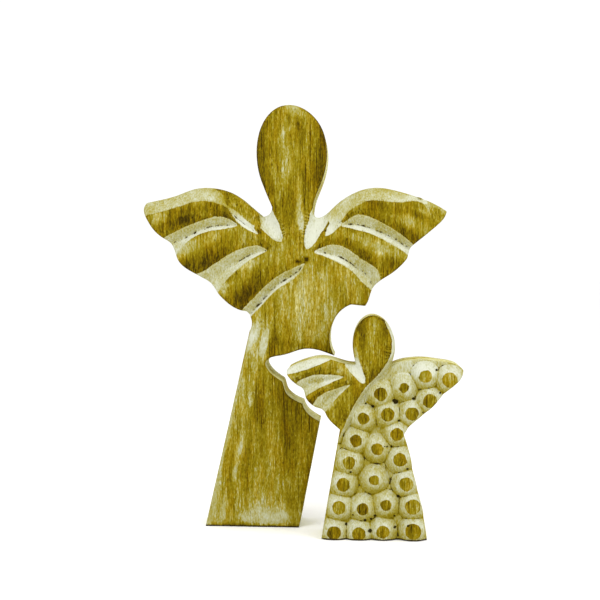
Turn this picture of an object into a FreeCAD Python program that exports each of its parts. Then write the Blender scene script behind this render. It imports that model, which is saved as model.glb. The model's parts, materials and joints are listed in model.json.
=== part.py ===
"""A pair of carved wooden angels, sawn from plank so that the small one nests in the large one.

The large angel has two feathered wings and a slanting skirt. A pocket is band-sawn into its
right side, in the shape of the small angel's head, left wing and skirt. The small angel wears a
robe covered in round bosses. It stands in front of the pocket, and slides back into it.

The frame is in millimetres, +Z up, and the carved faces look along -Y. The origin is the middle
of the large angel's foot, on the surface that both angels stand on.
"""
import FreeCAD, Part
import os

# The planks
PLANK_THICKNESS = 30.0
FRONT = -PLANK_THICKNESS / 2
BACK = PLANK_THICKNESS / 2

# Where the small angel stands, measured from the large angel's foot to its own
SMALL_AT_REST_X = 86.5
PLANK_GAP = 2.0
SMALL_AT_REST_Y = -PLANK_THICKNESS - PLANK_GAP

# Where its foot is when it is nested in the pocket, level with the large angel. It gets there
# in one straight slide, which keeps the two outlines clear of each other all the way.
SMALL_NESTED_X = 73.5
SMALL_NESTED_Y = 0.0

# Depth of the carving, from the front face
LARGE_GROOVE_DEPTH = 4.0
SMALL_GROOVE_DEPTH = 3.0
LARGE_BEVEL_DEPTH = 5.0
SMALL_BEVEL_DEPTH = 3.0
ROBE_DEPTH = 4.5
ROBE_WALL_WIDTH = 3.7

# The bosses on the robe: part balls that meet in creases, with their tops sanded flat
BOSS_FOOT_RADIUS = 10.5

# How far a cutter stands out of the wood, so that it cuts cleanly, and how far a gouge runs on
# past each end of its cut, as a share of its length
CLEAR = 1.0
GOUGE_LEAD = 0.15

# The large angel's outline as (x, z), clockwise from the left end of its foot. A run of two
# points is a straight cut, and a longer one is a smooth curve. Runs meet at corners.
LARGE_FOOT_LEFT = (-33.5, 0.0)
LARGE_FOOT_RIGHT = (33.5, 0.0)
LARGE_OUTLINE = [
    [LARGE_FOOT_LEFT, (-1.6, 140.0)],
    [(-1.6, 140.0), (0.0, 146.5), (-1.3, 150.7), (-4.3, 154.1)],
    [(-4.3, 154.1), (-11.0, 155.8), (-17.7, 160.2), (-23.2, 165.5)],
    [(-23.2, 165.5), (-26.4, 170.0), (-29.6, 173.8), (-35.0, 177.5)],
    [(-35.0, 177.5), (-44.0, 182.5), (-51.8, 188.7), (-54.2, 193.5)],
    [(-54.2, 193.5), (-55.7, 197.7), (-58.2, 202.0), (-62.3, 205.3)],
    [(-62.3, 205.3), (-71.0, 212.5), (-75.6, 219.9), (-78.0, 227.0), (-76.0, 231.6)],
    [(-76.0, 231.6), (-66.7, 233.5), (-54.1, 236.9), (-42.7, 241.2), (-34.0, 242.3),
     (-22.5, 241.0), (-11.1, 236.6), (-3.5, 230.7), (5.0, 223.4)],
    [(5.0, 223.4), (7.5, 221.4), (11.0, 222.2), (14.0, 225.3), (14.4, 228.0)],
    [(14.4, 228.0), (9.2, 240.0), (4.6, 253.5), (3.3, 263.5), (4.3, 277.5), (9.9, 291.0),
     (18.0, 298.2), (27.5, 300.0), (39.0, 295.8), (48.5, 285.5), (53.0, 271.0),
     (52.6, 257.0), (48.9, 244.3), (44.0, 231.0), (43.2, 226.0)],
    [(43.2, 226.0), (43.7, 222.5), (46.0, 220.6), (50.0, 221.2), (56.5, 226.3)],
    [(56.5, 226.3), (62.9, 232.2), (70.5, 237.0), (80.0, 240.7), (91.0, 241.6),
     (101.1, 239.7), (112.9, 236.2), (126.4, 231.0), (137.5, 224.6)],
    [(137.5, 224.6), (135.9, 220.3), (130.0, 214.0), (121.7, 207.1), (113.6, 200.6)],
    [(113.6, 200.6), (111.4, 197.6), (110.5, 194.2), (109.7, 191.5)],
    [(109.7, 191.5), (106.0, 187.0), (101.1, 182.6), (94.7, 178.3)],
    [(94.7, 178.3), (88.8, 174.3), (85.8, 171.0), (83.8, 166.0), (80.3, 158.0)],
    [(80.3, 158.0), (70.3, 159.0)],
    [(70.3, 159.0), (66.2, 157.0), (62.0, 153.5), (58.3, 148.0), (56.0, 141.9),
     (55.3, 134.3), (56.4, 127.5), (58.6, 122.8)],
    [(58.6, 122.8), (53.7, 124.6), (47.5, 126.6), (40.8, 127.6), (34.0, 126.8),
     (27.0, 124.4), (20.0, 122.6), (14.0, 121.4), (10.3, 118.9), (9.4, 116.6), (10.4, 113.9),
     (15.5, 108.2), (21.4, 104.2)],
    [(21.4, 104.2), (22.6, 100.5), (23.8, 96.8), (27.2, 93.0), (31.5, 90.3), (35.9, 88.4)],
    [(35.9, 88.4), (38.4, 82.9), (43.3, 78.6), (48.2, 75.8)],
    [(48.2, 75.8), LARGE_FOOT_RIGHT],
    [LARGE_FOOT_RIGHT, LARGE_FOOT_LEFT],
]

# The small angel's outline, clockwise from the left end of its own foot
SMALL_FOOT_LEFT = (-35.8, 0.0)
SMALL_FOOT_RIGHT = (35.8, 0.0)
SMALL_OUTLINE = [
    [SMALL_FOOT_LEFT, (-23.2, 75.2)],
    [(-23.2, 75.2), (-27.0, 78.4), (-30.3, 81.7), (-33.0, 86.3)],
    [(-33.0, 86.3), (-34.4, 88.0), (-36.6, 89.2)],
    [(-36.6, 89.2), (-40.4, 90.6), (-44.3, 93.8), (-46.9, 98.0)],
    [(-46.9, 98.0), (-47.8, 101.4), (-49.6, 103.7)],
    [(-49.6, 103.7), (-52.8, 105.6), (-56.2, 108.6), (-59.4, 113.6), (-58.3, 116.6)],
    [(-58.3, 116.6), (-52.0, 119.7), (-44.3, 122.3), (-36.6, 123.6), (-28.9, 122.6),
     (-19.9, 119.9), (-12.6, 119.1)],
    [(-12.6, 119.1), (-14.2, 127.0), (-14.7, 135.5), (-13.1, 142.5), (-9.3, 148.7),
     (-2.5, 152.6), (4.8, 150.7), (10.0, 145.4), (13.1, 137.5), (13.9, 131.0),
     (12.9, 124.5), (10.8, 118.0)],
    [(10.8, 118.0), (16.0, 120.6), (24.5, 122.4), (35.7, 122.7), (46.4, 121.3),
     (56.1, 119.0), (59.8, 115.6)],
    [(59.8, 115.6), (58.7, 111.6), (53.5, 105.8), (45.8, 98.9), (38.5, 90.7),
     (30.5, 84.0), (23.0, 77.0), (19.6, 71.5)],
    [(19.6, 71.5), (22.2, 64.5), (24.6, 56.0), (25.6, 48.0)],
    [(25.6, 48.0), (27.8, 40.5), (29.6, 31.5)],
    [(29.6, 31.5), (32.0, 24.0), (33.4, 15.5)],
    [(33.4, 15.5), SMALL_FOOT_RIGHT],
    [SMALL_FOOT_RIGHT, SMALL_FOOT_LEFT],
]

# Feather grooves. Each station across a groove is (upper edge, bottom, lower edge, share of the
# full depth). The first is outside the wood, the last is the groove's tip.
LARGE_GROOVES = [
    [((-70.0, 203.0), (-65.0, 198.5), (-58.5, 188.5), 1.0),
     ((-58.0, 209.5), (-54.5, 203.8), (-51.0, 197.5), 1.0),
     ((-44.0, 216.0), (-42.5, 209.2), (-41.0, 207.0), 1.0),
     ((-33.0, 220.0), (-31.5, 213.6), (-30.0, 211.0), 0.9),
     ((-22.5, 221.5), (-20.5, 215.2), (-19.0, 212.5), 0.8),
     ((-15.5, 219.5), (-14.8, 215.3), (-14.3, 213.6), 0.55),
     ((-10.0, 215.6), (-10.0, 215.1), (-10.0, 214.6), 0.1)],
    [((-41.0, 181.0), (-31.0, 173.0), (-27.5, 163.0), 1.0),
     ((-28.5, 187.0), (-21.0, 182.5), (-19.0, 174.5), 1.0),
     ((-19.0, 193.5), (-13.0, 187.6), (-12.5, 181.5), 1.0),
     ((-8.5, 198.5), (-5.0, 192.2), (-5.0, 187.5), 0.9),
     ((1.5, 201.0), (2.0, 195.6), (1.5, 191.8), 0.75),
     ((6.8, 200.2), (7.0, 197.0), (7.0, 194.6), 0.5),
     ((11.0, 197.5), (11.0, 197.0), (11.0, 196.5), 0.1)],
    [((-9.0, 153.0), (-4.5, 148.5), (-4.0, 145.5), 1.0),
     ((0.0, 163.0), (4.5, 158.4), (4.2, 155.8), 1.0),
     ((9.8, 172.4), (12.0, 167.0), (10.8, 162.8), 1.0),
     ((17.4, 178.8), (18.2, 172.6), (17.8, 169.6), 0.9),
     ((25.0, 183.2), (25.6, 177.8), (26.0, 174.4), 0.75),
     ((32.5, 186.6), (32.8, 182.6), (33.2, 180.2), 0.5),
     ((37.6, 188.8), (37.7, 188.2), (37.8, 187.6), 0.1)],
    [((119.5, 196.5), (117.0, 193.5), (113.5, 188.0), 1.0),
     ((104.1, 209.4), (103.0, 204.2), (101.5, 199.6), 1.0),
     ((95.2, 215.3), (93.8, 209.0), (92.8, 204.4), 1.0),
     ((84.7, 220.6), (83.5, 213.0), (83.0, 209.2), 0.95),
     ((76.0, 222.9), (75.6, 215.2), (75.8, 211.0), 0.85),
     ((69.5, 220.4), (69.4, 215.6), (69.4, 212.4), 0.6),
     ((63.5, 215.3), (63.4, 214.8), (63.3, 214.3), 0.1)],
    [((101.5, 174.0), (92.5, 168.0), (88.5, 162.0), 1.0),
     ((89.3, 183.6), (82.5, 178.2), (80.0, 172.6), 1.0),
     ((81.1, 189.4), (75.5, 184.2), (75.0, 177.8), 1.0),
     ((72.9, 195.3), (69.0, 188.8), (69.5, 183.2), 0.9),
     ((65.0, 200.3), (62.6, 192.6), (62.6, 187.8), 0.85),
     ((56.5, 201.6), (55.4, 194.8), (55.4, 191.2), 0.7),
     ((49.0, 199.0), (48.8, 196.0), (48.8, 193.8), 0.45),
     ((44.0, 196.4), (44.0, 195.9), (44.0, 195.4), 0.1)],
]
SMALL_GROOVES = [
    [((-55.5, 104.5), (-51.5, 99.5), (-50.0, 95.0), 1.0),
     ((-47.0, 110.8), (-43.8, 105.0), (-42.5, 99.8), 1.0),
     ((-39.5, 112.6), (-37.5, 107.4), (-36.6, 103.2), 0.95),
     ((-31.0, 112.8), (-30.5, 109.0), (-30.2, 106.4), 0.7),
     ((-25.2, 112.3), (-25.2, 110.2), (-25.2, 108.8), 0.4),
     ((-20.6, 111.4), (-20.6, 111.0), (-20.6, 110.6), 0.1)],
    [((-45.0, 89.5), (-40.5, 85.5), (-38.0, 82.0), 1.0),
     ((-38.0, 97.8), (-33.0, 92.6), (-30.8, 89.8), 1.0),
     ((-31.5, 101.6), (-28.2, 97.4), (-26.2, 95.6), 0.95),
     ((-24.0, 104.0), (-23.2, 101.2), (-22.2, 99.8), 0.6),
     ((-19.4, 105.4), (-19.2, 103.8), (-19.0, 103.0), 0.35),
     ((-15.6, 106.5), (-15.6, 106.1), (-15.6, 105.7), 0.1)],
]

# The leaf-shaped nick at the root of the large angel's left wing, in the same form
LEAF_NICK = [
    ((-15.0, 225.4), (-15.1, 225.0), (-15.2, 224.6), 0.05),
    ((-9.0, 222.2), (-10.5, 220.2), (-12.0, 218.6), 0.3),
    ((-2.5, 216.8), (-3.8, 214.8), (-5.0, 213.0), 0.35),
    ((3.2, 211.4), (2.4, 210.4), (1.6, 209.4), 0.25),
    ((6.2, 208.2), (6.0, 207.9), (5.8, 207.6), 0.05),
]

# Bevels along the wing tops. Each station is (edge on the front face, edge on the outline,
# share of the full depth).
LARGE_LEFT_BEVEL = [
    ((-79.0, 220.8), (-81.5, 231.0), 1.0),
    ((-63.6, 224.9), (-66.7, 233.5), 1.0),
    ((-50.9, 228.7), (-54.1, 236.9), 1.0),
    ((-36.4, 232.0), (-35.5, 242.3), 1.0),
    ((-24.5, 230.4), (-19.5, 240.3), 0.95),
    ((-15.5, 224.2), (-8.0, 234.6), 0.8),
    ((-8.6, 215.8), (0.0, 227.7), 0.6),
    ((-1.0, 210.5), (6.0, 222.5), 0.25),
    ((3.0, 208.0), (8.0, 218.5), 0.12),
]
LARGE_RIGHT_BEVEL = [
    ((58.5, 213.0), (51.5, 221.0), 0.2),
    ((61.9, 216.0), (54.5, 224.6), 0.5),
    ((67.6, 222.6), (62.9, 232.2), 0.95),
    ((74.7, 228.6), (70.5, 237.0), 1.0),
    ((84.5, 231.6), (82.5, 241.3), 1.0),
    ((109.0, 231.0), (110.5, 236.9), 0.9),
    ((122.5, 227.2), (124.6, 231.8), 0.7),
    ((140.0, 221.0), (141.5, 223.5), 0.5),
]
SMALL_WING_BEVEL = [
    ((-61.5, 112.2), (-62.0, 115.6), 1.0),
    ((-50.5, 113.9), (-52.0, 119.7), 1.0),
    ((-42.5, 116.6), (-42.6, 122.6), 1.0),
    ((-35.5, 119.8), (-34.5, 123.5), 0.8),
    ((-29.5, 122.6), (-27.5, 123.4), 0.3),
]
SMALL_HEAD_BEVEL = [
    ((5.0, 152.5), (6.5, 153.5), 0.4),
    ((8.9, 143.6), (11.0, 144.0), 0.8),
    ((11.4, 136.6), (13.4, 136.6), 1.0),
    ((11.6, 130.4), (13.9, 130.4), 1.0),
    ((10.4, 125.2), (13.1, 125.2), 1.0),
    ((6.6, 118.4), (10.6, 117.4), 1.0),
]

# Gouge cuts beside the necks: (deep end, shallow end, width and depth at the deep end)
LARGE_GOUGES = [
    ((8.5, 221.5), (21.0, 203.0), 15.0, 4.0),
    ((49.0, 223.0), (38.0, 196.5), 14.0, 4.0),
    ((60.0, 217.0), (50.0, 205.0), 8.0, 1.2),
]
SMALL_GOUGES = [
    ((-15.0, 120.0), (-6.5, 106.5), 9.0, 3.0),
]

# The top of the slanting wall between the plain torso and the robe, and the robe's other sides,
# which lie outside the wood
ROBE_EDGE = [
    (14.5, 129.5), (10.3, 123.4), (5.7, 116.9), (0.3, 110.5), (-5.1, 105.0),
    (-10.4, 97.6), (-14.7, 90.1), (-18.2, 83.0), (-21.6, 75.2), (-25.5, 66.0),
]
ROBE_LEFT = -45.0
ROBE_RIGHT = 70.0
ROBE_BOTTOM = -10.0
ROBE_TOP = 129.5

# The robe's bosses as (x, z, radius of the flat top), row by row down the robe
BOSSES = [
    (50.4, 109.4, 4.7), (34.1, 111.8, 3.8), (19.9, 103.8, 2.2), (4.2, 99.5, 3.9),
    (37.1, 95.2, 4.2), (25.0, 86.5, 4.0), (8.9, 85.8, 3.9), (-7.5, 83.1, 3.4),
    (15.1, 72.7, 3.8), (-12.6, 67.9, 3.6), (1.9, 62.5, 3.4), (17.2, 55.3, 4.0),
    (-17.1, 53.1, 3.8), (-0.1, 41.6, 2.5), (-21.0, 38.1, 4.0), (21.5, 38.9, 4.2),
    (-23.9, 22.3, 4.0), (-7.8, 21.7, 3.2), (7.8, 24.4, 2.9), (25.8, 23.6, 4.7),
    (-27.3, 5.1, 4.2), (-10.4, 4.8, 4.0), (5.7, 6.4, 3.8), (26.3, 6.9, 5.0),
]


def at(position, y):
    """The point of the plank at (x, z), at depth y."""
    x, z = position
    return FreeCAD.Vector(x, y, z)


def edge(run, y):
    """A straight edge through two positions, or a smooth curve through more."""
    points = [at(position, y) for position in run]
    if len(points) == 2:
        return Part.LineSegment(*points).toShape()
    curve = Part.BSplineCurve()
    curve.interpolate(points)
    return curve.toShape()


def plank(outline):
    """A piece sawn out of the plank along a closed outline."""
    wire = Part.Wire([edge(run, FRONT) for run in outline])
    return Part.Face(wire).extrude(FreeCAD.Vector(0, PLANK_THICKNESS, 0))


def extend(start, end, distance_share):
    """The point past end on the line from start, by a share of their distance."""
    return end + (end - start) * distance_share


def triangle_loft(triangles):
    """A solid through triangular sections."""
    wires = [Part.makePolygon(list(corners) + [corners[0]]) for corners in triangles]
    return Part.makeLoft(wires, True, False)


def groove_cutter(stations, full_depth):
    """A V groove whose width and depth change from station to station."""
    triangles = []
    for upper, bottom, lower, share in stations:
        depth = full_depth * share
        low = at(bottom, FRONT + depth)
        out = CLEAR / depth
        triangles.append((extend(low, at(upper, FRONT), out), low,
                          extend(low, at(lower, FRONT), out)))
    return triangle_loft(triangles)


def bevel_cutter(stations, full_depth):
    """A sloping cut from a line on the front face back to the outline."""
    triangles = []
    for face_edge, outer_edge, share in stations:
        depth = full_depth * share
        inner = at(face_edge, FRONT)
        outer = at(outer_edge, FRONT + depth)
        inner_end = extend(outer, inner, CLEAR / depth)
        outer_end = extend(inner, outer, 0.6)
        above = FreeCAD.Vector(outer_end.x, inner_end.y, outer_end.z)
        triangles.append((inner_end, outer_end, above))
    return triangle_loft(triangles)


def gouge_cutter(deep_end, shallow_end, width, depth):
    """A round-bottomed gouge cut that runs out to nothing at its shallow end."""
    radius = (width ** 2 / 4 + depth ** 2) / (2 * depth)
    start = at(deep_end, FRONT + depth - radius)
    finish = at(shallow_end, FRONT - radius)
    direction = finish - start
    start = start - direction * GOUGE_LEAD
    return Part.makeCylinder(radius, direction.Length * (1 + 2 * GOUGE_LEAD), start, direction)


def robe_region(edge_line, y):
    """The closed outline of the robe at depth y."""
    corners = [edge_line[-1], (ROBE_LEFT, edge_line[-1][1]), (ROBE_LEFT, ROBE_BOTTOM),
               (ROBE_RIGHT, ROBE_BOTTOM), (ROBE_RIGHT, ROBE_TOP), edge_line[0]]
    edges = [edge(edge_line, y)]
    edges += [edge(pair, y) for pair in zip(corners, corners[1:])]
    return Part.Wire(edges)


def robe_cutter():
    """The recess that the bosses stand in, with a slanting wall along the torso."""
    above = ROBE_WALL_WIDTH * CLEAR / ROBE_DEPTH
    top = [(x - above, z) for x, z in ROBE_EDGE]
    ground = [(x + ROBE_WALL_WIDTH, z) for x, z in ROBE_EDGE]
    wires = [robe_region(top, FRONT - CLEAR), robe_region(ground, FRONT + ROBE_DEPTH)]
    return Part.makeLoft(wires, True, True)


def boss(x, z, top_radius):
    """Part of a ball that stands on the robe's ground and is cut flat at the front face."""
    centre_depth = (ROBE_DEPTH ** 2 + BOSS_FOOT_RADIUS ** 2 - top_radius ** 2) / (2 * ROBE_DEPTH)
    radius = (centre_depth ** 2 + top_radius ** 2) ** 0.5
    ball = Part.makeSphere(radius, FreeCAD.Vector(x, FRONT + centre_depth, z))
    buried = FRONT + ROBE_DEPTH + CLEAR
    slab = Part.makeBox(4 * radius, buried - FRONT, 4 * radius,
                        FreeCAD.Vector(x - 2 * radius, FRONT, z - 2 * radius))
    return ball.common(slab)


def large_angel():
    """The large angel, with the small one's pocket sawn into its right side."""
    cutters = [groove_cutter(stations, LARGE_GROOVE_DEPTH) for stations in LARGE_GROOVES]
    cutters.append(groove_cutter(LEAF_NICK, LARGE_GROOVE_DEPTH))
    cutters.append(bevel_cutter(LARGE_LEFT_BEVEL, LARGE_BEVEL_DEPTH))
    cutters.append(bevel_cutter(LARGE_RIGHT_BEVEL, LARGE_BEVEL_DEPTH))
    cutters += [gouge_cutter(*gouge) for gouge in LARGE_GOUGES]
    body = plank(LARGE_OUTLINE)
    for cutter in cutters:
        body = body.cut(cutter)
    return body


def small_angel():
    """The small angel at its own foot: a plain torso and wing, and a robe of bosses."""
    blank = plank(SMALL_OUTLINE)
    body = blank.cut(robe_cutter())
    bosses = [boss(*place) for place in BOSSES]
    body = body.fuse(bosses[0].multiFuse(bosses[1:]).common(blank))
    cutters = [groove_cutter(stations, SMALL_GROOVE_DEPTH) for stations in SMALL_GROOVES]
    cutters.append(bevel_cutter(SMALL_WING_BEVEL, SMALL_BEVEL_DEPTH))
    cutters.append(bevel_cutter(SMALL_HEAD_BEVEL, SMALL_BEVEL_DEPTH))
    cutters += [gouge_cutter(*gouge) for gouge in SMALL_GOUGES]
    for cutter in cutters:
        body = body.cut(cutter)
    return body


def write(shape, name):
    """Writes one sub-part as a STEP file, and says what it is."""
    if len(shape.Solids) != 1 or not shape.isValid():
        raise ValueError(name + " is not one valid solid")
    shape.Solids[0].exportStep("parts/" + name + ".step")
    print(name, "volume", round(shape.Volume / 1000, 1), "cm3", shape.BoundBox)


os.makedirs("parts", exist_ok=True)
write(large_angel(), "large_angel")
small = small_angel()
small.translate(FreeCAD.Vector(SMALL_AT_REST_X, SMALL_AT_REST_Y, 0))
write(small, "small_angel")
slide = FreeCAD.Vector(SMALL_NESTED_X - SMALL_AT_REST_X, SMALL_NESTED_Y - SMALL_AT_REST_Y, 0)
print("slide into the pocket:", slide.Length, "mm along", slide / slide.Length)
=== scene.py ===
"""The looks of a nesting pair of carved, white-washed wooden angels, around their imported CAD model.

Each CAD plank is replaced by a finer one: its front is a dense relief cast from the CAD solid, then
worn, rounded and roughened as hand carving is, and its paint is where the carving is deeper.
"""

import json
import math
from types import SimpleNamespace

import bmesh
import bpy
import numpy as np
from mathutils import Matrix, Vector, noise
from mathutils.bvhtree import BVHTree
from mathutils.geometry import delaunay_2d_cdt
from mathutils.kdtree import KDTree


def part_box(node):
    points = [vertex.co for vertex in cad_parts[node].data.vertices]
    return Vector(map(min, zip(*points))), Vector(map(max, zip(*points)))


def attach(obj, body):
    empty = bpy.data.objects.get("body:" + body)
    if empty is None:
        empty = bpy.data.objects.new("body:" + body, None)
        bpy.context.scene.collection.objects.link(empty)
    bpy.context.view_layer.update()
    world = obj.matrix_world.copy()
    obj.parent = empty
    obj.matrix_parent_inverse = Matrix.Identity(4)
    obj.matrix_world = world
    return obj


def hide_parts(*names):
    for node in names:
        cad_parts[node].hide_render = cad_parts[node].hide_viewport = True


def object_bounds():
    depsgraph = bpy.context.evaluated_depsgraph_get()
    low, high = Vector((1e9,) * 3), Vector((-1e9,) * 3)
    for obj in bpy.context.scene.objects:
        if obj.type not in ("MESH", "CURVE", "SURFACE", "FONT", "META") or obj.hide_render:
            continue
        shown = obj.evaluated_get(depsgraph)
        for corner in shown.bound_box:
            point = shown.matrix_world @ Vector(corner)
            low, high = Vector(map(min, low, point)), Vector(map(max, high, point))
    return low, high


MM = 0.001

# The carvings' meshes: point spacings on the fronts and the backs in mm, and how many steps the
# side walls take from front to back
FRONT_SPACING = {"large_angel": 0.64, "small_angel": 0.5}
BACK_SPACING = 3.0
WALL_STEPS = 14

# The back's mesh has every third front point that lies between these distances from the outline,
# and its own grid from the margin inwards, in mm
BAND_FROM = 0.8
BAND_TO = 1.6
BACK_MARGIN = 2.0

# The outline is the plank's section at this depth past its middle, and the distance to it is
# measured to points at this spacing, in mm
SECTION_PAST_MIDDLE = 2
EDGE_SPACING = 0.25

# The CAD front is cast from this far in front of it, and the outline's own points this far inside
# the outline, in mm
CAST_FROM = 10
RIM_NUDGE = 0.12

# The heights where the heads begin, and how far below and above them their rounding sets in, in mm
HEAD_FOOT = {"large_angel": 236, "small_angel": 126}
HEAD_BLEND_BELOW = 4
HEAD_BLEND_ABOVE = 8

# Depths below the plank's face in mm: where level wood starts to turn into a cut, where it has
# turned into one, and what counts as a cut when the distance to the nearest one is measured
LEVEL_ENDS = 0.1
CUT_BEGINS = 0.6
CUT_DEPTH = 0.35

# Depths in mm where paint begins, and where it covers fully
PAINT_BEGINS = 0.06
PAINT_COVERS = 0.40

# Radii that wear leaves at the edges, and the pits' depth, in mm
EDGE_RADIUS = 1.0
HEAD_RADIUS = 3.2
BACK_RADIUS = 0.9
PIT_DEPTH = 1.6

# The width of the plain border along the robe's upper left edge, in mm
BORDER_WIDTH = 6.4

# The sizes of the features in the noise that roughens the carving and its finish, in mm
UNEVEN_SIZE = 45
WEAR_SIZE = 14
MOTTLE_SIZE = 12
CHATTER_SIZE = 6
FIBRE_SIZE = 1.6
WALL_PATCH_SIZE = 22
WALL_BUMP_SIZE = 5
BACK_RIPPLE_SIZE = 40

# Places on the finish scale, which runs from 0, near black, through bare wood to 1, fresh white
PLAIN_WOOD = 0.47
BOSS_WOOD = 0.40
BACK_WOOD = 0.50
# The sawn walls' wood and white sit above the front's: cream paint with painted light, so walls in
# shade look lit
SAWN_WOOD = 0.66
PLAIN_WHITE = 0.77
ROBE_WHITE = 0.79
BORDER_WHITE = 0.74
BACK_WHITE = 0.75
SAWN_WHITE = 0.83

# How much a fresh patch whitens the paint, and the tone from which paint is rubbed into level wood
FRESH_GAIN = 0.14
RUBBED_FROM = 0.45

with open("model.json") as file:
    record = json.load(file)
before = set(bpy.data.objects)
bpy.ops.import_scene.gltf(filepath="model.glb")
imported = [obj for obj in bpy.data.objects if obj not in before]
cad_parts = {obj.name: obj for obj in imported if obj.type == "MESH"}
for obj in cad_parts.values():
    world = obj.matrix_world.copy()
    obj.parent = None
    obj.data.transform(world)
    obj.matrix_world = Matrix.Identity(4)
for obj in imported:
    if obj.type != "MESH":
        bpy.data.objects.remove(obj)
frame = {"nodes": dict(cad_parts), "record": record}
cad_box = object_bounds()


# ---------------------------------------------------------------- the planks' shapes

def closed_section(node, y):
    """The outline of a CAD node where the plane at depth y cuts it, as ordered (x, z) in mm."""
    mesh = bmesh.new()
    mesh.from_mesh(frame["nodes"][node].data)
    bmesh.ops.remove_doubles(mesh, verts=mesh.verts, dist=1e-6)
    cut = bmesh.ops.bisect_plane(
        mesh, geom=mesh.verts[:] + mesh.edges[:] + mesh.faces[:], dist=1e-7,
        plane_co=(0, y * MM, 0), plane_no=(0, 1, 0), clear_inner=True, clear_outer=True)
    edges = [e for e in cut["geom_cut"] if isinstance(e, bmesh.types.BMEdge)]
    links = {}
    for e in edges:
        links.setdefault(e.verts[0], []).append(e.verts[1])
        links.setdefault(e.verts[1], []).append(e.verts[0])
    start = edges[0].verts[0]
    loop, before, here = [start], None, start
    while True:
        after = [v for v in links[here] if v is not before]
        if not after or after[0] is start:
            break
        before, here = here, after[0]
        loop.append(here)
    points = np.array([(v.co.x, v.co.z) for v in loop]) / MM
    mesh.free()
    return points


def evenly_spaced(loop, spacing):
    """The closed loop walked at an even spacing, anticlockwise."""
    x, z = loop[:, 0], loop[:, 1]
    area = np.sum(x * np.roll(z, -1) - np.roll(x, -1) * z) / 2
    if area < 0:
        loop = loop[::-1]
    closed = np.vstack([loop, loop[:1]])
    walked = np.concatenate([[0], np.cumsum(np.hypot(*np.diff(closed, axis=0).T))])
    count = int(round(walked[-1] / spacing))
    at = np.linspace(0, walked[-1], count, endpoint=False)
    return np.column_stack([np.interp(at, walked, closed[:, 0]),
                            np.interp(at, walked, closed[:, 1])])


def inside(loop, points):
    """True for each point inside the closed loop."""
    ends = np.roll(loop, -1, axis=0)
    order = np.argsort(points[:, 1])
    heights = points[order, 1]
    flips = np.zeros(len(points), int)
    for (x0, z0), (x1, z1) in zip(loop, ends):
        if z0 == z1:
            continue
        low, high = min(z0, z1), max(z0, z1)
        first, last = np.searchsorted(heights, [low, high])
        rows = order[first:last]
        crossing = x0 + (points[rows, 1] - z0) * (x1 - x0) / (z1 - z0)
        flips[rows] += points[rows, 0] < crossing
    return flips % 2 == 1


def tree_of(points):
    """A nearest-point search over (x, z) points."""
    tree = KDTree(len(points))
    for index, (x, z) in enumerate(points):
        tree.insert((x, z, 0), index)
    tree.balance()
    return tree


def distance_to(tree, points):
    """Each point's distance to the nearest point of a tree."""
    return np.array([tree.find((x, z, 0))[2] for x, z in points])


def filled(loop, tree, spacing, margin):
    """Points of a triangular grid inside the loop, no nearer its edge than the margin."""
    low, high = loop.min(axis=0), loop.max(axis=0)
    row_height = spacing * math.sqrt(3) / 2
    rows = np.arange(low[1], high[1], row_height)
    grid = []
    for number, z in enumerate(rows):
        xs = np.arange(low[0] + (number % 2) * spacing / 2, high[0], spacing)
        grid.append(np.column_stack([xs, np.full(len(xs), z)]))
    grid = np.vstack(grid)
    grid = grid[inside(loop, grid)]
    return grid[distance_to(tree, grid) > margin]


def triangulated(loop, points):
    """The loop's inside as triangles over the loop's points and then the others."""
    count = len(loop)
    verts = [Vector(p) for p in np.vstack([loop, points])]
    edges = [(i, (i + 1) % count) for i in range(count)]
    made = delaunay_2d_cdt(verts, edges, [], 0, 1e-5, True)
    source = np.array([ids[0] for ids in made[3]])
    faces = source[np.array(made[2])]
    middles = np.vstack([loop, points])[faces].mean(axis=1)
    return [tuple(face) for face in faces[inside(loop, middles)].tolist()]


def cast_onto(node, points, start_y):
    """The y in mm where a ray along +Y from start_y meets the CAD node, at each (x, z)."""
    mesh = frame["nodes"][node].data
    verts = [v.co for v in mesh.vertices]
    faces = [tuple(p.vertices) for p in mesh.polygons]
    tree = BVHTree.FromPolygons(verts, faces)
    met = np.zeros(len(points))
    forward = Vector((0, 1, 0))
    for index, (x, z) in enumerate(points):
        hit = tree.ray_cast(Vector((x * MM, start_y * MM, z * MM)), forward)[0]
        met[index] = hit.y / MM if hit else np.nan
    return met


def neighbours(triangles):
    """Every edge of the triangles, both ways, as two arrays of indices."""
    tri = np.array(triangles)
    pairs = np.vstack([tri[:, [0, 1]], tri[:, [1, 2]], tri[:, [2, 0]]])
    pairs = np.vstack([pairs, pairs[:, ::-1]])
    pairs = np.unique(pairs, axis=0)
    return pairs[:, 0], pairs[:, 1]


def smoothed(values, pairs, times):
    """Values moved half way to their neighbours' mean, a number of times."""
    ends, others = pairs
    degree = np.bincount(ends, minlength=len(values))
    for _ in range(times):
        mean = np.bincount(ends, weights=values[others], minlength=len(values)) / degree
        values = values + (mean - values) * 0.5
    return values


def smoothstep(low, high, value):
    """0 below low, 1 above high, and a smooth rise between."""
    t = np.clip((value - low) / (high - low), 0, 1)
    return t * t * (3 - 2 * t)


def rough(x, y, z, size, seed, stretch=(1, 1, 1), octaves=1):
    """Smooth noise from -1 to 1 over arrays of mm, with features of about that size in mm."""
    sx, sy, sz = (1 / (size * s) for s in stretch)
    result = np.empty(len(x))
    for index in range(len(x)):
        place = Vector((x[index] * sx + seed, y[index] * sy - seed, z[index] * sz + 2 * seed))
        if octaves == 1:
            result[index] = noise.noise(place)
        else:
            result[index] = noise.fractal(place, 0.6, 2.1, octaves)
    return result


def rounding(distance, radius):
    """How far a face falls away within a radius of its edge."""
    inset = np.clip(radius - distance, 0, radius)
    return radius - np.sqrt(np.maximum(radius ** 2 - inset ** 2, 0))
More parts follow.
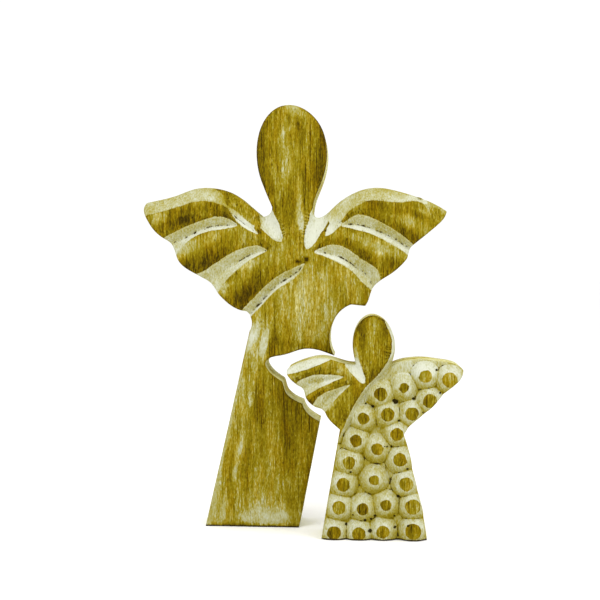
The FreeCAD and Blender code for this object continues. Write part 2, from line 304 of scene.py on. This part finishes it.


# ---------------------------------------------------------------- patches of wood and paint

# Tones on the front faces, placed from the angel's own foot, in mm:
# (x, z, half width, half height, lean in degrees, tone). A positive tone is lighter wood, and what
# is strongly positive is rubbed-in white. A negative one is darker.
LARGE_TONES = [
    # head and neck
    (30, 297, 8, 3.5, -25, 1.3), (27, 266, 7, 13, 5, 0.5), (24, 252, 3, 9, 0, 0.6),
    (33, 232, 1.8, 10, 0, 1.0), (35, 218, 2.6, 8, 0, 1.5), (26, 283, 6, 3, 50, 0.4),
    (7, 268, 3, 22, 0, -0.7), (50, 266, 3, 24, 0, -0.7), (13, 243, 3, 14, 15, -0.6),
    (43, 246, 3, 14, -12, -0.5), (37, 262, 1.6, 20, 0, -0.5), (18, 270, 1.6, 20, 0, -0.35),
    (33, 286, 1.6, 4, 0, -0.8), (28, 222, 3, 14, 0, -0.25),
    # left wing
    (-46, 219, 4.5, 3, 0, -1.0), (-58, 217, 13, 4, 25, -0.8), (-67, 221, 4, 3, 10, 0.9),
    (-42, 227, 20, 3, 8, -0.5), (-22, 222, 8, 4, -30, -0.5), (-51, 197, 7, 4, 30, 1.3),
    (-33, 204, 11, 3.4, 22, 1.0), (-46, 186, 10, 5, 38, -0.9), (-30, 190, 12, 4.5, 35, -0.7),
    (-14, 206, 12, 4, 20, -0.2), (-21, 170, 5, 3, 35, 0.9), (-10, 161, 9, 6, 35, -0.9),
    (2, 172, 11, 5, 45, -0.9), (14, 184, 6, 4, 30, -0.5), (0, 188, 8, 2.4, 15, 0.9),
    # right wing
    (122, 219, 12, 4, -30, -0.4), (98, 226, 20, 3, -15, -0.5), (120, 224, 5, 1.6, -25, 0.9),
    (111, 218, 7, 4, -20, 1.2), (86, 218, 6, 2, -20, 0.4), (98, 191, 9, 4, -40, -0.7),
    (93, 198, 11, 4.5, -22, 1.6), (72, 207, 10, 2.4, -20, 0.5), (80, 193, 8, 3, -38, -0.6),
    (104, 188, 4, 2, -45, 0.3), (112, 208, 10, 3, -38, -0.6), (64, 203, 6, 2, -10, -0.3),
    # breast and skirt, and the foot of the lowest feather
    (36, 168, 24, 24, 0, 0.62), (48, 150, 10, 18, 0, 0.35), (66, 176, 9, 8, -35, 0.3),
    (38.8, 191, 1.2, 1.2, 0, -3.5), (32.4, 189.3, 2.0, 1.2, 0, -2.2),
    (14, 140, 3.5, 22, 0, -0.5), (9, 132, 2.6, 10, -14, 3.0), (4.5, 139, 1.4, 9, -14, 1.4),
    (0.5, 136, 1.8, 9, -14, 2.4), (-8.5, 56, 2.0, 9, -12, 1.7), (-9, 92, 2.4, 18, -12, 0.5),
    (28, 60, 5, 30, -10, -0.45), (22, 95, 4, 18, 0, -0.4), (6, 70, 3, 34, 0, -0.35),
    (-14, 40, 3, 22, -12, -0.3), (38, 100, 10, 14, 0, -0.25), (14, 50, 2.5, 26, 0, 0.35),
    (-2, 100, 3, 20, -6, 0.3), (-28, 14, 3.5, 14, -13, 1.4), (-21, 9, 2, 12, -12, 0.9),
    (9, 7, 20, 5.5, 0, 1.35), (10, 13, 12, 7, 0, 0.6), (-6, 22, 10, 9, 0, 0.3),
    # The first tone below, a dark strip along the foot, is a painted contact shadow
    (0, 1.5, 34, 1.2, 0, -0.8), (20, 25, 7, 12, -10, 0.3), (27, 8, 3, 9, 0, -0.3),
    (55, 122, 4, 8, 0, -0.8), (30, 131, 20, 3, 0, -0.5),
    (-16.5, 70, 1.2, 78, -12.8, 1.4), (-18, 172, 5, 1.2, 30, 0.8),
    (-12.5, 38, 1.5, 5, -10, 1.7), (-0.8, 91, 1.4, 5, -5, 0.7), (-21, 13, 3, 13, -12, 0.5),
    (16, 6, 18, 5, 0, 0.7),
]
SMALL_TONES = [
    (-3, 140, 3, 8, 0, 0.4), (6, 134, 3, 14, 0, -0.3), (-9, 138, 1.6, 10, 0, -0.5),
    (9, 148, 3, 3, 0, -0.4), (-1, 122, 4, 6, 0, 0.3), (-4, 108, 5, 10, 0, -0.2),
    (-30, 92, 2, 4, -35, 1.4), (-22, 86, 4, 8, 20, -0.4), (-55, 111, 4, 2, -35, 0.3),
    (-48, 108, 3, 2.5, 0, -0.7), (-42, 94, 3, 3, 0, -0.5), (-34, 116.5, 9, 2, 10, -0.2),
    (-18, 115, 5, 3, -15, 0.8), (-17, 98, 4, 6, 20, 0.2), (-50, 114.5, 5, 1.2, 15, -0.3),
    (-10, 118, 5, 3, -20, 0.7), (-12.5, 127, 2.5, 9, 8, 1.3),
]
BACK_TONES = [(-20, 150, 14, 60, 8, 0.8), (20, 60, 10, 50, 5, 0.8), (40, 230, 20, 30, 0, 0.6)]

# Where hands and sanding have worn the paint in the cuts: (x, z, half width, half height, lean in
# degrees, wear). Paint darkens with wear, goes from 0.6 on, and is all gone at 1.
LARGE_WORN = [
    (128, 217, 5, 7, -20, 2.2), (134, 213, 4, 6, -20, 1.5),
    (-14, 236, 13, 5, -35, 0.85), (0, 224, 7, 6, -40, 1.0), (-30, 241, 9, 2.5, 0, 0.5),
    (-4, 224, 16, 3.2, -45, 1.3), (-60, 231, 18, 7, 14, 0.35), (-18, 228, 8, 5, -35, 0.6),
    (92, 240, 14, 2.5, 0, 0.55), (118, 231, 22, 5, -22, 0.58), (72, 232, 8, 5, 35, 0.35),
    (58, 224, 6, 4, 35, 0.6), (-38, 167, 4, 5, 40, 0.4), (-24, 172, 3, 5, 40, 0.3),
]
SMALL_WORN = [
    (-38, 108, 5, 2, 10, 0.5), (-30, 96, 4, 3, 40, 0.35),
]

# Where the paint, in the cuts or rubbed in, is thick and fresh, in the same form
LARGE_FRESH = [
    (15, 215, 11, 11, 25, 1.6), (45, 211, 10, 15, -25, 1.6), (55, 211, 5, 6, -40, 0.8),
    (-5, 215, 10, 5, -42, 1.8), (-66, 194, 8, 5, 30, 0.5), (-28, 166, 8, 7, 45, 1.1),
    (98, 176, 8, 6, -45, 0.5), (114, 196, 6, 5, -45, 0.4), (9, 132, 4, 12, -14, 1.2),
    (0.5, 136, 3, 10, -14, 1.4), (-8.5, 56, 3, 9, -12, 0.8), (10, 7, 22, 6, 0, 0.5),
]
SMALL_FRESH = [
    (-10, 113, 6, 8, 20, 1.5), (-30, 108, 6, 3, 0, 0.5), (12, 133, 3, 16, 0, 0.6),
    (-44, 117, 17, 6, 15, 1.3), (26, 118, 24, 6, -3, 1.2),
]

# Dark pits in the robe, between the bosses: (x, z, radius) from the small angel's foot, in mm
PITS = [
    (14.5, 94.2, 1.9), (13.2, 95.0, 1.3), (-1.1, 91.0, 1.2), (26.3, 96.3, 1.1), (44.1, 100.5, 0.8),
    (41.6, 115.8, 0.9), (-5.9, 92.8, 0.7), (16.4, 81.5, 0.8), (32.7, 87.2, 0.8), (11.5, 64.1, 0.7),
    (22.3, 48.8, 1.0), (16.2, 30.0, 1.1), (-19.0, 10.4, 0.9), (-6.2, 13.7, 1.1), (-2.2, 14.4, 0.9),
    (0.5, 16.6, 0.9), (-2.8, 6.4, 1.6), (8.6, 64.0, 0.6), (7.0, 64.1, 0.5), (-16.0, 46.5, 0.8),
    (14.0, 9.0, 1.1), (13.6, 16.5, 0.7), (-14.4, 17.0, 0.6), (22.8, 10.6, 0.8),
]

# The robe's upper left edge, as heights and the x at each
ROBE_EDGE_HEIGHTS = [60.0, 83.0, 97.6, 110.5, 129.5]
ROBE_EDGE_X = [-40.0, -18.2, -10.4, 0.3, 14.5]


def tone_at(x, z, tones):
    """The sum of the hand-placed tones at each (x, z)."""
    total = np.zeros(len(x))
    for cx, cz, half_width, half_height, lean, tone in tones:
        turn = math.radians(lean)
        across = (x - cx) * math.cos(turn) + (z - cz) * math.sin(turn)
        along = -(x - cx) * math.sin(turn) + (z - cz) * math.cos(turn)
        reach = (across / half_width) ** 2 + (along / half_height) ** 2
        total += tone * np.exp(-reach * 0.8)
    return total


def pitted(x, z, pits):
    """How far into a pit each (x, z) is, from 0 outside to 1 at its bottom."""
    pit = np.zeros(len(x))
    for pit_x, pit_z, radius in pits:
        away = np.hypot((x - pit_x) * 0.9, z - pit_z)
        pit = np.maximum(pit, 1 - smoothstep(radius * 0.5, radius * 1.15, away))
    return pit


# ---------------------------------------------------------------- the carved planks

def outward(loop):
    """The unit (x, z) pointing out of an anticlockwise loop at each of its points."""
    tangent = np.roll(loop, -1, axis=0) - np.roll(loop, 1, axis=0)
    tangent /= np.maximum(np.hypot(tangent[:, 0], tangent[:, 1]), 1e-9)[:, None]
    return np.column_stack([tangent[:, 1], -tangent[:, 0]])


def facing_up(points, depth, triangles):
    """How far each point of the relief faces up, from -1 to 1."""
    spots = np.column_stack([points[:, 0], depth, points[:, 1]])
    tri = np.array(triangles)
    normals = np.cross(spots[tri[:, 1]] - spots[tri[:, 0]], spots[tri[:, 2]] - spots[tri[:, 0]])
    total = np.zeros_like(spots)
    for corner in range(3):
        np.add.at(total, tri[:, corner], normals)
    total *= -np.sign(total[:, 1:2])
    return total[:, 2] / np.maximum(np.linalg.norm(total, axis=1), 1e-9)


def nearest_offset(points, targets):
    """The distance from each point to the nearest target, and how much higher that target is."""
    tree = tree_of(targets)
    found = [tree.find((x, z, 0)) for x, z in points]
    distance = np.array([hit[2] for hit in found])
    rise = np.array([hit[0].y for hit in found]) - points[:, 1]
    return distance, rise


def measured_front(node, loop, edge_tree, grid, own, has_robe):
    """The CAD's front face at the loop's points and then the grid's, and how each point lies."""
    points = np.vstack([loop, grid])
    triangles = triangulated(loop, grid)
    pairs = neighbours(triangles)
    nudge = np.zeros_like(points)
    nudge[:len(loop)] = -outward(loop) * RIM_NUDGE
    face_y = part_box(node)[0][1] / MM
    depth = cast_onto(node, points + own + nudge, face_y - CAST_FROM) - face_y
    missed = np.isnan(depth)
    print(node, int(missed.sum()), "rays missed")
    depth[missed] = 0
    depth = smoothed(depth, pairs, 2)
    x, z = points[:, 0], points[:, 1]
    border = x - np.interp(z, ROBE_EDGE_HEIGHTS, ROBE_EDGE_X)
    on_robe = (border > 0) & has_robe
    level = 1 - smoothstep(LEVEL_ENDS, CUT_BEGINS, depth)
    cut_edge, rise = nearest_offset(points, points[depth > CUT_DEPTH])
    return SimpleNamespace(
        points=points, triangles=triangles, x=x, z=z, depth=depth,
        edge=distance_to(edge_tree, points),
        head=smoothstep(HEAD_FOOT[node] - HEAD_BLEND_BELOW, HEAD_FOOT[node] + HEAD_BLEND_ABOVE, z),
        level=level, wood_level=level * ~on_robe,
        cut_edge=cut_edge, above_cut=smoothstep(-0.2, 0.6, -rise / np.maximum(cut_edge, 0.1)),
        cavity=depth - smoothed(depth, pairs, 12), fold=depth - smoothed(depth, pairs, 3),
        up=facing_up(points, depth, triangles),
        border=border, on_robe=on_robe, has_robe=has_robe)


def worn_relief(face, chatter, pit, seed):
    """The front face in mm below the plank's face: feathers rounded, tool marks, fibres, wear."""
    here = (face.x, np.zeros(len(face.x)), face.z)
    uneven = rough(*here, UNEVEN_SIZE, seed, stretch=(0.6, 1, 1.6))
    fibre = rough(*here, FIBRE_SIZE, seed + 9, stretch=(1, 1, 12), octaves=2)
    wear = 1.0 + 0.5 * rough(*here, WEAR_SIZE, seed + 13)
    relief = face.depth + 0.25 * uneven * face.level
    relief += 0.12 * chatter * (1 - face.level) + 0.08 * fibre * face.level

    # Level wood rounds down to the cuts, and furthest to a cut below it
    drop = 0.5 + 0.9 * face.above_cut
    reach = 1.6 + 2.4 * face.above_cut
    relief += drop * np.exp(-face.cut_edge / reach) * face.wood_level * wear
    relief += rounding(face.edge, EDGE_RADIUS * wear + 0.2) * (1 - face.head)
    relief += rounding(face.edge, HEAD_RADIUS) * face.head
    return np.maximum(relief + PIT_DEPTH * pit, 0.0)


def robe_white(face, chatter, fresh):
    """How white the robe's paint is: less so between the bosses, with painted highlights and painted
    shade, and even along the border.
    """
    tops = face.points[face.on_robe & (face.depth < 0.12)]
    from_top = nearest_offset(face.points, tops)[0]
    # Painted highlight: paint whiter near the bosses' tops and on faces turned up; painted shade on
    # faces turned down and in hollows
    white = ROBE_WHITE - 0.13 * smoothstep(0.5, 5.0, from_top)
    white += 0.10 * np.clip(face.up * 1.5, -1, 1)
    white -= 0.24 * smoothstep(0.10, 0.45, face.cavity) - 0.05 * chatter
    white += FRESH_GAIN * fresh
    return white + (BORDER_WHITE - white) * on_border(face)


def on_border(face):
    """1 on the plain border of the robe, and 0 off it."""
    return (1 - smoothstep(5.5, 8.0, face.border)) * smoothstep(62, 75, face.z)


def painted_shade_of(face, pit):
    """How much painted shade each point has: in folds, in pits and beside the border, and a painted
    contact shadow at the foot.
    """
    painted_shade = np.maximum(smoothstep(0.02, 0.10, face.fold) * 0.72, pit * 1.6)
    if face.has_robe:
        beside_border = np.exp(-((face.border - BORDER_WIDTH) / 0.6) ** 2)
        beside_border *= smoothstep(70, 80, face.z)
        painted_shade = painted_shade * (1 - on_border(face)) + 0.45 * beside_border

    # None along the outline, except the painted contact shadow at the foot
    painted_shade *= smoothstep(0.6, 1.8, face.edge)
    return np.maximum(painted_shade, 1.3 * (1 - smoothstep(0.8, 1.9, face.z)))


def front_finish(face, marks, chatter, pit, seed):
    """The front's wood and paint at each point, with painted light and shade."""
    tones, worn, fresh = (tone_at(face.x, face.z, group) for group in marks)
    # Painted shade: level wood darker just above a cut, where the feathers round down to it, and
    # along the head's rounded edge; level wood is also darker near the outline
    shaded = 0.15 * face.above_cut * np.exp(-face.cut_edge / 4.0) * face.wood_level
    wood = PLAIN_WOOD + 0.28 * np.minimum(tones, 0.55) - shaded
    wood -= 0.16 * np.exp(-face.edge / 3.5) * face.head
    wood -= 0.08 * np.exp(-face.edge / 1.2) * face.wood_level

    # Paint covers the cuts where it isn't worn off, and the level wood where it is rubbed in
    bare = np.clip(worn, 0, 1)
    cover = smoothstep(PAINT_BEGINS, PAINT_COVERS, face.depth + 0.16 * chatter)
    rubbed = np.minimum(0.9 * np.maximum(tones - RUBBED_FROM, 0), 1)
    paint = cover * (1 - smoothstep(0.6, 1.0, bare)) + (1 - cover) * rubbed
    # Painted light: paint whiter on faces turned up, and painted shade on faces turned down
    white = PLAIN_WHITE + 0.17 * smoothstep(0.42, 0.60, face.up)
    white -= 0.05 * smoothstep(0.1, 0.6, -face.up)
    white += FRESH_GAIN * fresh - 0.20 * bare - 0.11 * (1 - cover)
    if face.has_robe:
        painted = face.on_robe & (face.depth > 0.05)
        white = np.where(painted, robe_white(face, chatter, fresh), white)
        mottle = rough(face.x, np.zeros(len(face.x)), face.z, MOTTLE_SIZE, seed + 17)
        wood = np.where(face.on_robe, BOSS_WOOD + 0.22 * mottle, wood)
    return {"wood": wood, "white": white, "paint": paint, "painted_shade": painted_shade_of(face, pit),
            "sawn": np.zeros(len(wood))}


def sawn_wall(loop, front_y, back_y, spacing, seed):
    """The rings of points between the front rim and the back rim, and their finish."""
    normals = outward(loop)
    walked = np.arange(len(loop)) * spacing
    rings, paint, white = [], [], []
    for ring in range(1, WALL_STEPS):
        share = ring / WALL_STEPS
        y = front_y + (back_y - front_y) * share

        # Saw marks, one every 3 mm or so
        saw = np.sin(walked * 2.1 + 0.25 * y + 3 * np.sin(walked * 0.11))
        bumpy = rough(loop[:, 0], y, loop[:, 1], WALL_BUMP_SIZE, seed + 31, octaves=2)
        patchy = rough(loop[:, 0], y, loop[:, 1], WALL_PATCH_SIZE, seed + 37, octaves=2)
        sunk = (0.05 * saw + 0.10 * bumpy + 0.08) * math.sin(math.pi * share) ** 0.3
        rings.append(np.column_stack([loop - normals * sunk[:, None], y]))
        near_front = math.exp(-ring / 1.5)
        paint.append(np.clip(0.75 + 0.8 * patchy + 0.3 * bumpy + near_front, 0, 1))
        # The walls' wood and white sit above the front's: cream paint with painted light, so walls in
        # shade look lit
        white.append(SAWN_WHITE + 0.17 * near_front + 0.10 * patchy + 0.03 * saw)
    count = len(loop) * len(rings)
    finish = {"wood": np.full(count, SAWN_WOOD), "white": np.concatenate(white),
              "paint": np.concatenate(paint), "painted_shade": np.zeros(count), "sawn": np.ones(count)}
    return np.vstack(rings), finish


def plain_back(loop, edge_tree, near_rim, back_face, seed):
    """The back, plain with a softened edge: its points, its triangles and its finish."""
    inner = np.vstack([near_rim, filled(loop, edge_tree, BACK_SPACING, BACK_MARGIN)])
    flat = np.vstack([loop, inner])
    x, z = flat[:, 0], flat[:, 1]
    ripple = rough(x, x * 0, z, BACK_RIPPLE_SIZE, seed + 21)
    y = back_face - rounding(distance_to(edge_tree, flat), BACK_RADIUS) - 0.12 * (1 + ripple)
    tone = tone_at(x, z, BACK_TONES)
    finish = {"wood": BACK_WOOD + 0.15 * tone, "white": np.full(len(x), BACK_WHITE),
              "paint": 0.15 + 0.2 * tone, "painted_shade": np.zeros(len(x)), "sawn": np.zeros(len(x))}
    return np.column_stack([flat, y]), triangulated(loop, inner), finish


def wall_faces(front_count, rim):
    """The quads of the side wall, from the front rim through the rings to the back rim."""
    starts = [0] + [front_count + ring * rim for ring in range(WALL_STEPS)]
    faces = []
    for near, far in zip(starts, starts[1:]):
        for here in range(rim):
            after = (here + 1) % rim
            faces.append((near + here, near + after, far + after, far + here))
    return faces


def carved_plank(node, foot_x, marks, pits, seed):
    """A fine mesh of one angel, with the tone of its wood and paint, and its painted shade, at each
    vertex.
    """
    spacing = FRONT_SPACING[node]
    low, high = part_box(node)
    front_face, back_face = low[1] / MM, high[1] / MM
    own = np.array([foot_x, 0.0])
    section_y = (front_face + back_face) / 2 + SECTION_PAST_MIDDLE
    loop = evenly_spaced(closed_section(node, section_y), spacing) - own
    edge_tree = tree_of(evenly_spaced(loop, EDGE_SPACING))
    rim = len(loop)
    grid = filled(loop, edge_tree, spacing, spacing * 0.5)

    face = measured_front(node, loop, edge_tree, grid, own, bool(pits))
    chatter = rough(face.x, np.zeros(len(face.x)), face.z, CHATTER_SIZE, seed + 5, octaves=3)
    pit = pitted(face.x, face.z, pits)
    front = np.column_stack([face.points, front_face + worn_relief(face, chatter, pit, seed)])
    grid_edge = face.edge[rim:]
    near_rim = grid[(grid_edge > BAND_FROM) & (grid_edge < BAND_TO)][::3]
    back, back_triangles, back_finish = plain_back(loop, edge_tree, near_rim, back_face, seed)
    wall, wall_finish = sawn_wall(loop, front[:rim, 2], back[:rim, 2], spacing, seed)
    finishes = (front_finish(face, marks, chatter, pit, seed), wall_finish, back_finish)

    points = np.vstack([front, wall, back])
    coords = np.column_stack([points[:, 0] + foot_x, points[:, 2], points[:, 1]])
    coords[:, 2] = np.maximum(coords[:, 2], 0)
    faces = [tuple(reversed(triangle)) for triangle in face.triangles]
    faces += wall_faces(len(front), rim)
    back_start = len(front) + len(wall)
    faces += [tuple(back_start + i for i in triangle) for triangle in back_triangles]

    name = node + "_carving"
    mesh = bpy.data.meshes.new(name)
    mesh.from_pydata([tuple(c) for c in coords * MM], [], faces)
    mesh.validate()
    for label in wall_finish:
        values = np.concatenate([finish[label] for finish in finishes])
        layer = mesh.attributes.new(label, "FLOAT", "POINT")
        layer.data.foreach_set("value", np.clip(values, -1, 2).astype(np.float32))
    mesh.polygons.foreach_set("use_smooth", [True] * len(mesh.polygons))
    mesh.update()
    piece = bpy.data.objects.new(name, mesh)
    bpy.context.collection.objects.link(piece)
    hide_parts(node)
    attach(piece, node)
    print(name, len(coords), "vertices", sum(len(f) - 2 for f in faces), "triangles")
    return piece


# ---------------------------------------------------------------- material

# The finish scale's colours, from near black through bare wood to fresh white
FINISH_SCALE = [
    (0.00, (0.020, 0.013, 0.001)), (0.12, (0.070, 0.045, 0.001)), (0.25, (0.125, 0.086, 0.001)),
    (0.38, (0.178, 0.130, 0.002)), (0.48, (0.228, 0.175, 0.005)), (0.58, (0.271, 0.225, 0.026)),
    (0.68, (0.322, 0.292, 0.092)), (0.78, (0.392, 0.385, 0.215)), (0.88, (0.462, 0.472, 0.345)),
    (1.00, (0.545, 0.556, 0.450)),
]

# What the scale's colour is multiplied by in golden patches of bare wood and on sawn walls, there
# cream paint with painted light, and the colours of open pores and of painted shade in the cracks
GOLDEN_TINT = (1.06, 0.93, 0.4)
CREAM_AND_PAINTED_LIGHT_TINT = (1.20, 1.14, 0.74)
PORE_COLOUR = (0.07, 0.048, 0.004)
PAINTED_SHADE_COLOUR = (0.045, 0.032, 0.006)


def washed_wood():
    """Olive-brown wood with a vertical grain, and white paint worn back to what the cuts keep, with
    painted shade in the cracks and painted light on the sawn walls.
    """
    material = bpy.data.materials.new("washed_wood")
    material.use_nodes = True
    tree = material.node_tree
    tree.nodes.clear()
    links = tree.links

    def node(kind, **settings):
        made = tree.nodes.new(kind)
        for key, value in settings.items():
            setattr(made, key, value)
        return made

    def join(source, target):
        links.new(source, target)

    def math_node(operation, first, second=None, third=None):
        made = node("ShaderNodeMath", operation=operation)
        for socket, value in zip(made.inputs, (first, second, third)):
            if value is None:
                continue
            if isinstance(value, (int, float)):
                socket.default_value = value
            else:
                join(value, socket)
        return made.outputs[0]

    def plus(value, noise_value, gain):
        """The value, with a noise that averages nothing added to it."""
        return math_node("MULTIPLY_ADD", math_node("SUBTRACT", noise_value, 0.5), gain, value)

    def step(value, low, high):
        """0 below low, 1 above high, and a smooth rise between."""
        made = node("ShaderNodeMapRange", interpolation_type="SMOOTHSTEP")
        join(value, made.inputs["Value"])
        made.inputs["From Min"].default_value = low
        made.inputs["From Max"].default_value = high
        return made.outputs["Result"]

    def mark(label):
        """One of the finish values that the mesh holds."""
        return node("ShaderNodeAttribute", attribute_name=label).outputs["Fac"]

    coordinates = node("ShaderNodeTexCoord").outputs["Object"]

    def noise_of(width, height, shift=0.0, detail=2.0, bend=0.4):
        """Noise with features about that wide and tall, in mm."""
        placed = node("ShaderNodeMapping")
        placed.inputs["Scale"].default_value = (1 / width / MM, 1 / width / MM, 1 / height / MM)
        placed.inputs["Location"].default_value = (shift, shift * 0.7, shift * 1.3)
        join(coordinates, placed.inputs["Vector"])
        made = node("ShaderNodeTexNoise")
        made.inputs["Scale"].default_value = 1.0
        made.inputs["Detail"].default_value = detail
        made.inputs["Roughness"].default_value = 0.6
        made.inputs["Distortion"].default_value = bend
        join(placed.outputs[0], made.inputs["Vector"])
        return made.outputs["Fac"]

    def coated(amount, under, over, blend_type="MIX"):
        """A colour with another laid over it, or multiplied into it, by an amount."""
        made = node("ShaderNodeMix", data_type="RGBA", blend_type=blend_type)
        join(amount, made.inputs[0])
        join(under, made.inputs[6])
        made.inputs[7].default_value = (*over, 1)
        return made.outputs[2]

    broad = noise_of(12, 45, 3.0)
    streak = noise_of(2.6, 26, 11.0, detail=3)
    line = noise_of(1.0, 55, 17.0, detail=2, bend=0.8)
    fibre = noise_of(0.9, 9, 23.0, detail=3)
    grit = noise_of(0.8, 2.2, 31.0, detail=1)
    pore = noise_of(0.8, 3.2, 59.0, detail=1, bend=0.0)
    fleck = noise_of(1.4, 5.0, 47.0, detail=3)
    cloud = noise_of(9, 16, 67.0, detail=4)
    gap = noise_of(5, 5, 83.0, detail=2)
    stroke = noise_of(1.7, 7, 103.0, detail=3, bend=1.0)
    bare_patch = noise_of(7, 26, 97.0, detail=3)

    # Bare wood, with its grain, paler strokes and dark lines
    grain = math_node("MULTIPLY", math_node("SUBTRACT", broad, 0.5), 0.5)
    grain = plus(plus(plus(grain, streak, 0.5), fibre, 0.65), grit, 0.5)
    wood = math_node("ADD", mark("wood"), grain)
    wood = math_node("MULTIPLY_ADD", step(stroke, 0.50, 0.62), 0.13, wood)
    wood = math_node("SUBTRACT", wood, 0.04)
    line_depth = math_node("MULTIPLY_ADD", mark("wood"), 0.9, -0.66)
    wood = math_node("MULTIPLY_ADD", step(line, 0.58, 0.66), line_depth, wood)

    # Paint, clouded and flecked, with some of the grain showing
    paint = plus(plus(mark("white"), cloud, 0.36), grit, 0.30)
    paint = math_node("MULTIPLY_ADD", grain, 0.22, paint)
    paint = math_node("MULTIPLY_ADD", step(fleck, 0.60, 0.72), -0.16, paint)

    cover = step(plus(plus(mark("paint"), fleck, 1.1), cloud, 0.8), 0.34, 0.62)
    layers = node("ShaderNodeMix", data_type="FLOAT")
    join(cover, layers.inputs[0])
    join(wood, layers.inputs[2])
    join(paint, layers.inputs[3])
    value = math_node("MAXIMUM", layers.outputs[0], 0.03)
    value = math_node("MINIMUM", value, 0.98)

    # The finish scale's colour, tinted, with open pores and painted shade over it
    scale = node("ShaderNodeValToRGB")
    stops = scale.color_ramp.elements
    while len(stops) < len(FINISH_SCALE):
        stops.new(0.5)
    for stop, (place, colour) in zip(stops, FINISH_SCALE):
        stop.position = place
        stop.color = (*colour, 1)
    join(value, scale.inputs[0])
    golden = math_node("MULTIPLY", step(plus(bare_patch, streak, 0.8), 0.46, 0.60), 0.75)
    golden = math_node("MULTIPLY", golden, math_node("SUBTRACT", 1.0, cover))
    colour = coated(golden, scale.outputs[0], GOLDEN_TINT, "MULTIPLY")
    # Sawn walls tinted cream and lightened with painted light
    colour = coated(mark("sawn"), colour, CREAM_AND_PAINTED_LIGHT_TINT, "MULTIPLY")
    pores = math_node("MULTIPLY_ADD", math_node("SUBTRACT", value, 0.5), -0.14, pore)
    colour = coated(math_node("MULTIPLY", step(pores, 0.655, 0.72), 0.6), colour, PORE_COLOUR)
    # Painted shade in the folds, pits and cracks, and a painted contact shadow at the foot
    painted_shade_mask = plus(plus(mark("painted_shade"), gap, 1.8), pore, 0.8)
    colour = coated(step(painted_shade_mask, 0.60, 0.95), colour, PAINTED_SHADE_COLOUR)

    shader = node("ShaderNodeBsdfPrincipled")
    join(colour, shader.inputs["Base Color"])
    join(math_node("MULTIPLY_ADD", fibre, 0.25, 0.55), shader.inputs["Roughness"])
    shader.inputs["Specular IOR Level"].default_value = 0.02
    height = math_node("MULTIPLY_ADD", pore, -0.4, math_node("MULTIPLY", fibre, 0.6))
    height = math_node("MULTIPLY_ADD", cloud, 0.5, height)
    height = math_node("MULTIPLY_ADD", grit, 0.4, height)
    bump = node("ShaderNodeBump")
    bump.inputs["Strength"].default_value = 0.5
    bump.inputs["Distance"].default_value = 0.0007
    join(height, bump.inputs["Height"])
    join(bump.outputs[0], shader.inputs["Normal"])
    join(shader.outputs[0], node("ShaderNodeOutputMaterial").inputs[0])
    return material


# ---------------------------------------------------------------- studio

# The lights' places from the middle of the pair and their widths, in metres, and their watts
LIGHTS = {
    "key": (Vector((-0.55, -0.75, 0.85)), 0.5, 5.5),
    "fill": (Vector((0.65, -0.35, 0.75)), 0.5, 5),
}
SURROUNDINGS_STRENGTH = 1.06
FLOOR_WIDTH = 80

# The camera's place, its turn to the left, its tilt up from the level, and its lens in mm
CAMERA_PLACE = Vector((76.6, -694.9, 179.5)) * MM
CAMERA_TURN = math.radians(3.56)
CAMERA_TILT = math.radians(-1.46)
CAMERA_LENS = 57.8


def plain_floor():
    """A plain pale floor under the angels."""
    bpy.ops.mesh.primitive_plane_add(size=FLOOR_WIDTH, location=(0, 0, 0))
    floor = bpy.context.object
    floor.name = "floor"
    material = bpy.data.materials.new("floor")
    material.use_nodes = True
    shader = material.node_tree.nodes["Principled BSDF"]
    shader.inputs["Base Color"].default_value = (0.96, 0.96, 0.955, 1)
    shader.inputs["Roughness"].default_value = 0.8
    shader.inputs["Specular IOR Level"].default_value = 0.1
    floor.data.materials.append(material)


def soft_light(name, place, target, size, watts):
    """A square area light aimed at a point."""
    data = bpy.data.lights.new(name, "AREA")
    data.size = size
    data.energy = watts
    light = bpy.data.objects.new(name, data)
    light.location = place
    light.rotation_euler = (Vector(target) - Vector(place)).to_track_quat("-Z", "Y").to_euler()
    bpy.context.collection.objects.link(light)


def studio():
    """White surroundings, with soft lights from above on the left and on the right."""
    world = bpy.data.worlds.new("studio")
    world.use_nodes = True
    background = world.node_tree.nodes["Background"]
    background.inputs["Color"].default_value = (1, 1, 1, 1)
    background.inputs["Strength"].default_value = SURROUNDINGS_STRENGTH
    bpy.context.scene.world = world
    bpy.context.scene.view_settings.view_transform = "Standard"
    middle = (cad_box[0] + cad_box[1]) / 2
    for name, (offset, size, watts) in LIGHTS.items():
        soft_light(name, middle + offset, middle, size, watts)
    plain_floor()


def camera():
    """The camera, level with the large angel's chest and to the right of the pair's middle."""
    data = bpy.data.cameras.new("camera")
    data.lens = CAMERA_LENS
    data.sensor_width = 36
    holder = bpy.data.objects.new("camera", data)
    holder.location = CAMERA_PLACE
    holder.rotation_euler = (math.pi / 2 + CAMERA_TILT, 0, CAMERA_TURN)
    bpy.context.collection.objects.link(holder)
    bpy.context.scene.camera = holder


# ---------------------------------------------------------------- the scene

mounts = {mount["name"]: mount["pos_m"] for mount in frame["record"]["mounts"]}
camera()
studio()
wood = washed_wood()
for node, marks, pits, seed in (
        ("large_angel", (LARGE_TONES, LARGE_WORN, LARGE_FRESH), [], 1.7),
        ("small_angel", (SMALL_TONES, SMALL_WORN, SMALL_FRESH), PITS, 8.3)):
    foot_x = mounts[node.replace("angel", "foot")][0] / MM
    piece = carved_plank(node, foot_x, marks, pits, seed)
    piece.data.materials.append(wood)
